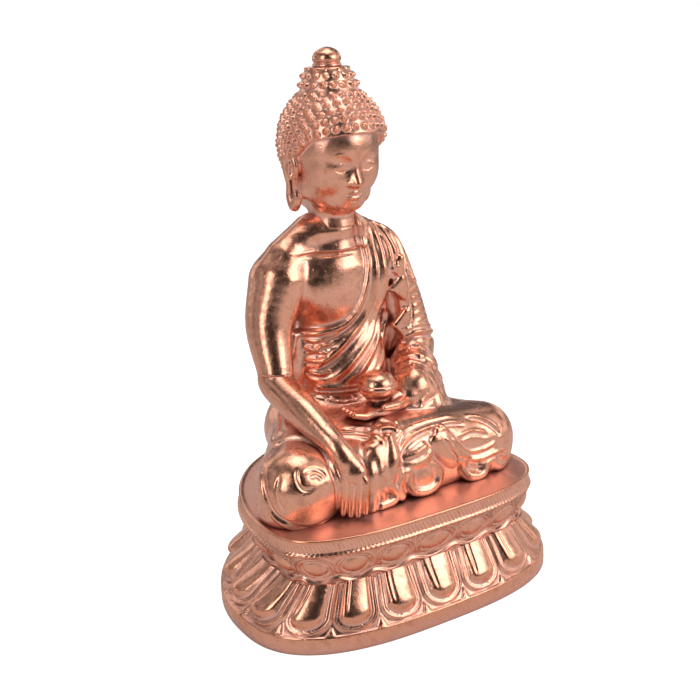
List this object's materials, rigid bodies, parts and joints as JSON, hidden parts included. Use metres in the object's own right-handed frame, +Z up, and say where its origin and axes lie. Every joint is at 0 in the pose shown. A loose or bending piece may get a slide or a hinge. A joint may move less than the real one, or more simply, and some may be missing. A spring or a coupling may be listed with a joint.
{
  "type": "seated buddha statue",
  "caption": "Cast copper figure seated cross-legged on a double-lotus pedestal, right hand touching the ground, lift-out bowl in its lap.",
  "frame": {"origin": "on the resting plane, under the middle of the pedestal's box", "axes": "+Z up; the figure faces -Y; +X is the figure's left side"},
  "size_m": [0.0974, 0.078, 0.15],
  "materials": {
    "polished_copper": "polished, redder in the recesses",
    "pedestal_copper": "polished on the petals, matt red in the recesses",
    "sheet_copper": "rolled sheet, dull",
    "pin_copper": "drawn wire, dull"
  },
  "bodies": {
    "statue": {"pedestal_casting": "pedestal_copper", "base_plate": "sheet_copper", "body_casting": "polished_copper", "tenon_pins": "pin_copper", "head_casting": "polished_copper", "neck_pin": "pin_copper", "crown_jewel": "polished_copper", "right_forearm": "polished_copper", "elbow_pin": "pin_copper", "left_hand": "polished_copper", "wrist_pin": "pin_copper"},
    "bowl": {"alms_bowl": "polished_copper"}
  },
  "joints": [
    {"name": "bowl_lift", "type": "slide", "parent": "statue", "child": "bowl", "axis": [0, 0, 1], "range_m": [0, 0.012]}
  ]
}
